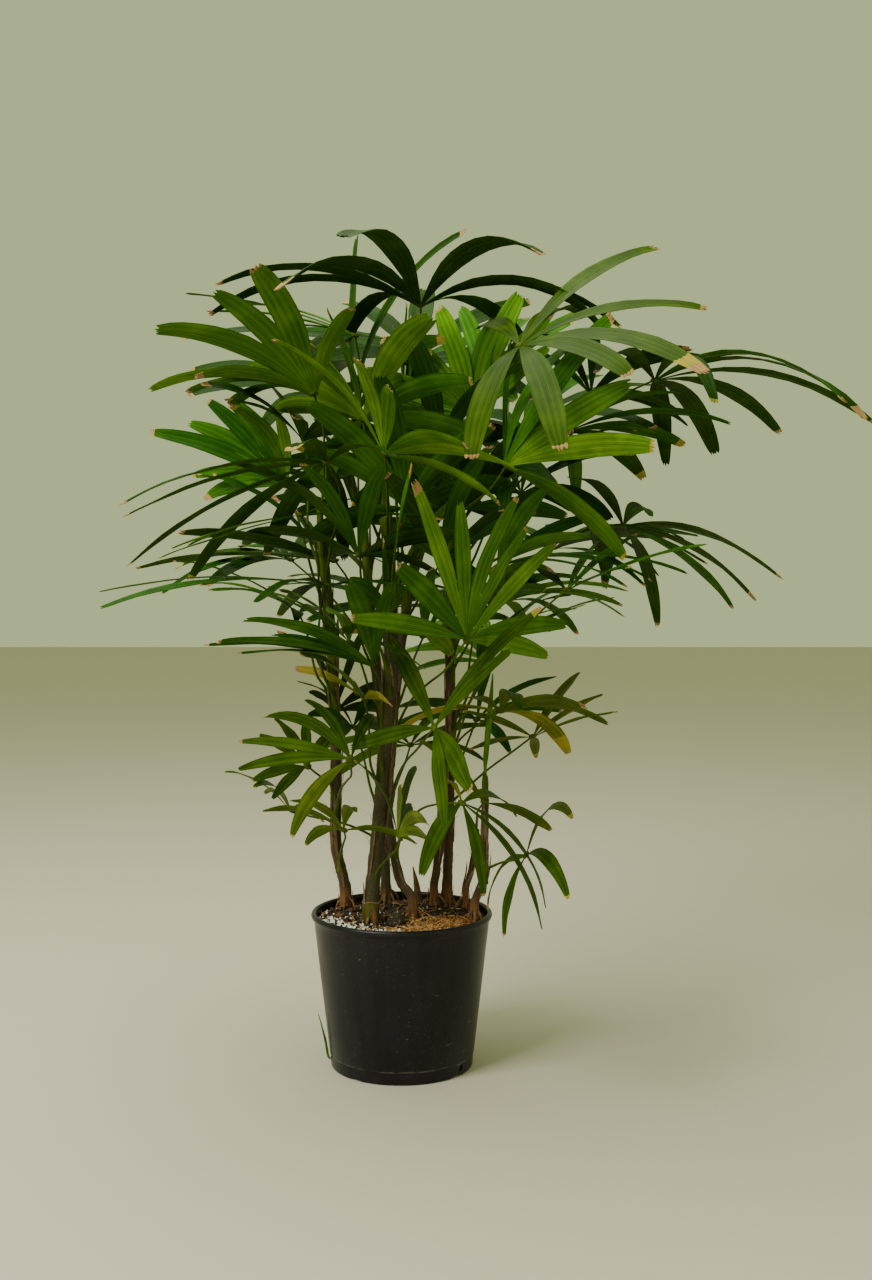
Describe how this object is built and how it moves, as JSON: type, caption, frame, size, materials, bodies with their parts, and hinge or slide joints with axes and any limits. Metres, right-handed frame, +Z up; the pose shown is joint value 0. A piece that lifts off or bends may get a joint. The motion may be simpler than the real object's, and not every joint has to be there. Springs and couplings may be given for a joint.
{
  "type": "potted lady palm",
  "caption": "Clumping fan palm with slender sheathed canes and deeply cut fan fronds, standing in a black nursery pot.",
  "frame": {"origin": "middle of the pot's flat underside, on the surface that it stands on", "axes": "+Z up, -Y towards the viewer of the picture, +X to that viewer's right"},
  "size_m": [1.1879, 0.9951, 1.332],
  "materials": {
    "pot_plastic": "semi-matt black moulded plastic with dusty scuffs",
    "potting_mix": "dark crumbly mix with white perlite and orange root fibres",
    "cane_sheath": "fibrous brown sheaths over green canes",
    "frond_green": "ribbed satin green blades with tan and yellow tips",
    "young_leaf": "smooth young green leaf"
  },
  "bodies": {
    "root": {"cane_curved": "cane_sheath", "cane_left": "cane_sheath", "cane_low": "cane_sheath", "cane_main": "cane_sheath", "cane_rear": "cane_sheath", "cane_right": "cane_sheath", "cane_short": "cane_sheath", "cane_slim": "cane_sheath", "drain_sprout": "young_leaf", "frond_01": "frond_green", "frond_02": "frond_green", "frond_03": "frond_green", "frond_04": "frond_green", "frond_05": "frond_green", "frond_06": "frond_green", "frond_07": "frond_green", "frond_08": "frond_green", "frond_09": "frond_green", "frond_10": "frond_green", "frond_11": "frond_green", "frond_12": "frond_green", "frond_13": "frond_green", "frond_14": "frond_green", "frond_15": "frond_green", "frond_16": "frond_green", "frond_17": "frond_green", "frond_18": "frond_green", "frond_19": "frond_green", "frond_20": "frond_green", "frond_21": "frond_green", "frond_22": "frond_green", "frond_23": "frond_green", "frond_24": "frond_green", "frond_25": "frond_green", "frond_26": "frond_green", "frond_27": "frond_green", "frond_28": "frond_green", "frond_29": "frond_green", "frond_30": "frond_green", "frond_31": "frond_green", "frond_32": "frond_green", "frond_33": "frond_green", "frond_34": "frond_green", "frond_35": "frond_green", "frond_36": "frond_green", "frond_37": "frond_green", "frond_38": "frond_green", "frond_39": "frond_green", "frond_40": "frond_green", "frond_41": "frond_green", "frond_42": "frond_green", "frond_43": "frond_green", "frond_44": "frond_green", "frond_45": "frond_green", "frond_46": "frond_green", "frond_47": "frond_green", "pot": "pot_plastic", "soil": "potting_mix", "spear_leaf": "young_leaf", "spike_shoot": "cane_sheath"}
  },
  "joints": []
}
